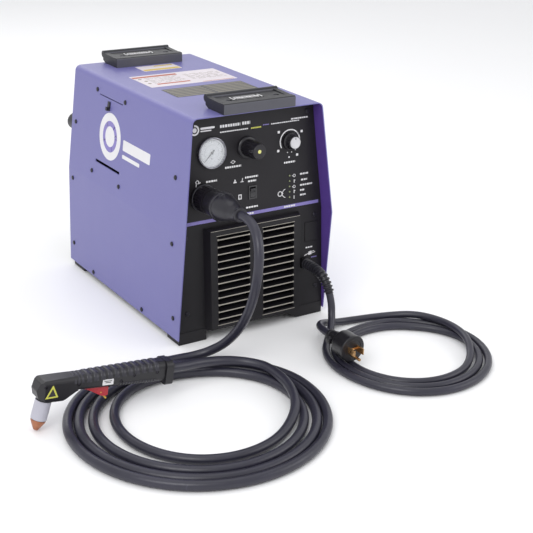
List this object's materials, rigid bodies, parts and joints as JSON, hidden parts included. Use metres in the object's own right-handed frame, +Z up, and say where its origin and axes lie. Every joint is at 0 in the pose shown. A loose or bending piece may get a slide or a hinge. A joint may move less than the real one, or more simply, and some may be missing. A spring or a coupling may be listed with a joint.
{
  "type": "plasma cutter unit",
  "caption": "Portable air plasma cutter: sheet-metal case with louvred front, gauge and knobs, hand torch on a coiled lead, and a mains cord with plug.",
  "frame": {"origin": "centre of the footprint of the unit with its torch, on the floor, without the free cords", "axes": "+Z up, +Y from the control panel to the rear panel, +X to the right seen from the front"},
  "size_m": [0.7414, 0.865, 0.3905],
  "materials": {
    "cover_paint": "satin powder coat",
    "panel_black": "fine textured",
    "moulding_black": "matte",
    "screw_steel": "zinc plated",
    "bezel_metal": "satin",
    "dial_white": "matte",
    "needle_black": "matte",
    "lens_clear": "clear",
    "brass_fitting": "machined",
    "spindle_steel": "turned",
    "knob_black": "satin",
    "switch_black": "gloss",
    "light_lens": "gloss",
    "board_green": "satin",
    "cable_rubber": "satin",
    "torch_black": "satin",
    "cup_ceramic": "satin",
    "tip_copper": "machined",
    "trigger_red": "satin",
    "lock_yellow": "satin",
    "blade_brass": "polished",
    "fan_black": "satin",
    "sink_aluminium": "extruded",
    "core_iron": "varnished",
    "capacitor_can": "sleeved"
  },
  "bodies": {
    "root": {"wrapper_cover": "cover_paint", "base_pan": "panel_black", "front_panel": "panel_black", "lower_front": "moulding_black", "rear_panel": "panel_black", "rear_feet": "moulding_black", "front_handle": "moulding_black", "rear_handle": "moulding_black", "handle_screws": "screw_steel", "side_screws": "screw_steel", "front_screws": "screw_steel", "rear_screws": "screw_steel", "blank_plate": "moulding_black", "hanger_latch": "moulding_black", "gauge_case": "bezel_metal", "gauge_dial": "dial_white", "gauge_lens": "lens_clear", "regulator_body": "brass_fitting", "output_pot": "spindle_steel", "mode_switch": "switch_black", "status_leds": "light_lens", "control_board": "board_green", "torch_socket": "torch_black", "connector_plug": "torch_black", "torch_boot": "cable_rubber", "torch_cable": "cable_rubber", "torch_coil": "cable_rubber", "torch_shell_left": "torch_black", "torch_shell_right": "torch_black", "torch_head": "torch_black", "shield_cup": "cup_ceramic", "cutting_tip": "tip_copper", "electrode": "tip_copper", "torch_switch": "switch_black", "torch_screws": "screw_steel", "cord_gland": "moulding_black", "cord_relief": "cable_rubber", "power_cord": "cable_rubber", "power_coil": "cable_rubber", "plug_body": "cable_rubber", "plug_blades": "blade_brass", "plug_clamp": "cable_rubber", "fan_shroud": "fan_black", "fan_motor": "fan_black", "fan_guard": "spindle_steel", "power_switch": "switch_black", "air_inlet": "fan_black", "heat_sink": "sink_aluminium", "transformer": "core_iron", "capacitors": "capacitor_can"},
    "needle": {"gauge_needle": "needle_black"},
    "spindle": {"regulator_spindle": "spindle_steel"},
    "pressure_knob": {"regulator_knob": "knob_black"},
    "current_knob": {"output_knob": "knob_black"},
    "mode_key": {"mode_rocker": "switch_black"},
    "ring": {"lock_ring": "knob_black"},
    "trigger_lever": {"trigger": "trigger_red"},
    "safety_lock": {"trigger_lock": "lock_yellow"},
    "fan": {"fan_blades": "fan_black"},
    "mains_key": {"power_rocker": "switch_black"}
  },
  "joints": [
    {"name": "gauge_needle_turn", "type": "hinge", "parent": "root", "child": "needle", "pos_m": [0.07729, -0.13342, 0.3068], "axis": [0, 0.9985, -0.0549], "range_deg": [0, 270]},
    {"name": "regulator_turn", "type": "hinge", "parent": "root", "child": "spindle", "pos_m": [0.14199, -0.13341, 0.307], "axis": [0, -0.9985, 0.0549], "range_deg": [-540, 540]},
    {"name": "regulator_pull", "type": "slide", "parent": "spindle", "child": "pressure_knob", "axis": [0, -0.9985, 0.0549], "range_m": [0, 0.003]},
    {"name": "output_knob_turn", "type": "hinge", "parent": "root", "child": "current_knob", "pos_m": [0.22298, -0.13343, 0.3066], "axis": [0, -0.9985, 0.0549], "range_deg": [-140, 140]},
    {"name": "mode_rocker_tilt", "type": "hinge", "parent": "root", "child": "mode_key", "pos_m": [0.15158, -0.13648, 0.23295], "axis": [1, 0, 0], "range_deg": [-18, 0]},
    {"name": "power_rocker_tilt", "type": "hinge", "parent": "root", "child": "mains_key", "pos_m": [0.20999, 0.25406, 0.29], "axis": [-1, 0, 0], "range_deg": [-18, 0]},
    {"name": "lock_ring_turn", "type": "hinge", "parent": "root", "child": "ring", "pos_m": [0.05998, -0.1372, 0.238], "axis": [0, -0.9985, 0.0549], "range_deg": [0, 90]},
    {"name": "fan_spin", "type": "hinge", "parent": "root", "child": "fan", "pos_m": [0.17999, 0.26306, 0.118], "axis": [0, 1, 0], "continuous": true},
    {"name": "trigger_pull", "type": "hinge", "parent": "root", "child": "trigger_lever", "pos_m": [-0.21471, -0.28413, 0.05195], "axis": [0.0306, -0.9995, 0], "range_deg": [0, 6], "stiffness_Nm_per_rad": 1},
    {"name": "trigger_lock_swing", "type": "hinge", "parent": "trigger_lever", "child": "safety_lock", "pos_m": [-0.18905, -0.28334, 0.03363], "axis": [0.0306, -0.9995, 0], "range_deg": [-35, 0], "stiffness_Nm_per_rad": 0.02}
  ]
}
